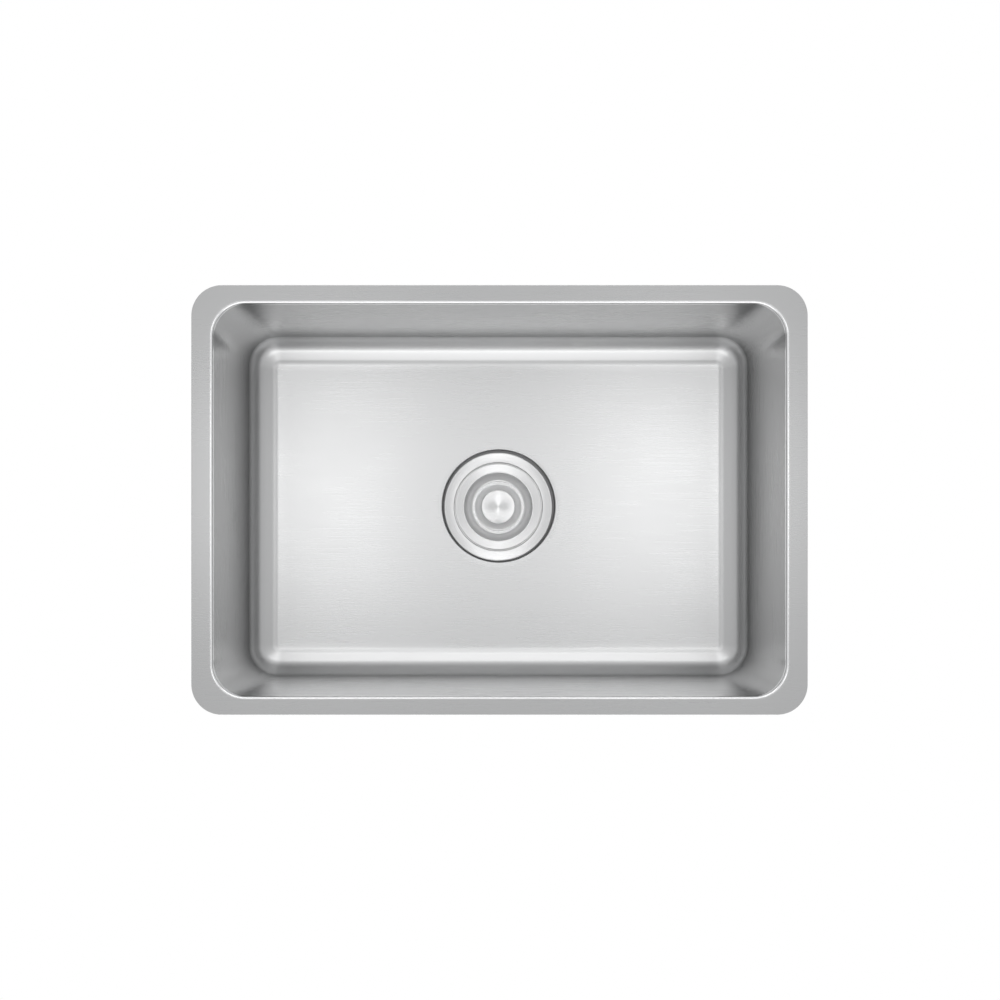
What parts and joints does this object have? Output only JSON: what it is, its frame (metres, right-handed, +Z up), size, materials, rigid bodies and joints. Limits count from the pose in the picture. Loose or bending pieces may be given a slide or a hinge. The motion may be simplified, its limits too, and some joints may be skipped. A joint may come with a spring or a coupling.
{
  "type": "undermount kitchen sink",
  "caption": "Rectangular pressed steel sink bowl with a flat rim that hangs under a worktop, and a basket strainer with a sealing lid over its drain.",
  "frame": {"origin": "middle of the flat rim's top face, in the plane of the underside of the worktop", "axes": "+Z up, out of the bowl's mouth; +X along the sink's length; +Y towards the wall behind it"},
  "size_m": [0.565, 0.394, 0.3775],
  "materials": {
    "satin_steel": "satin, very finely brushed",
    "turned_steel": "bright turned, fine concentric marks",
    "polished_metal": "polished",
    "cast_zinc": "dull die-cast",
    "seal_rubber": "matt",
    "pad_rubber": "matt",
    "fibre": "matt",
    "white_plastic": "smooth"
  },
  "bodies": {
    "sink": {"sink_bowl": "satin_steel", "floor_pad_right": "pad_rubber", "floor_pad_left": "pad_rubber", "wall_pad_right": "pad_rubber", "wall_pad_back": "pad_rubber", "wall_pad_left": "pad_rubber", "wall_pad_front": "pad_rubber", "strainer_body": "turned_steel", "flange_gasket": "seal_rubber", "rubber_washer": "seal_rubber", "friction_ring": "fibre", "lock_nut": "cast_zinc", "tailpiece_washer": "white_plastic", "tailpiece": "polished_metal", "slip_nut": "cast_zinc"},
    "basket": {"basket_cup": "satin_steel", "basket_ring": "seal_rubber", "basket_post": "polished_metal", "basket_knob": "polished_metal", "basket_rivet": "polished_metal"},
    "lid": {"lid_plate": "turned_steel", "lid_seal": "seal_rubber", "lid_knob": "turned_steel", "lid_washer": "polished_metal", "lid_nut": "polished_metal"}
  },
  "joints": [
    {"name": "basket_lift", "type": "slide", "parent": "sink", "child": "basket", "axis": [0, 0, 1], "range_m": [0, 0.255]},
    {"name": "lid_lift", "type": "slide", "parent": "basket", "child": "lid", "axis": [0, 0, 1], "range_m": [0, 0.225]}
  ]
}
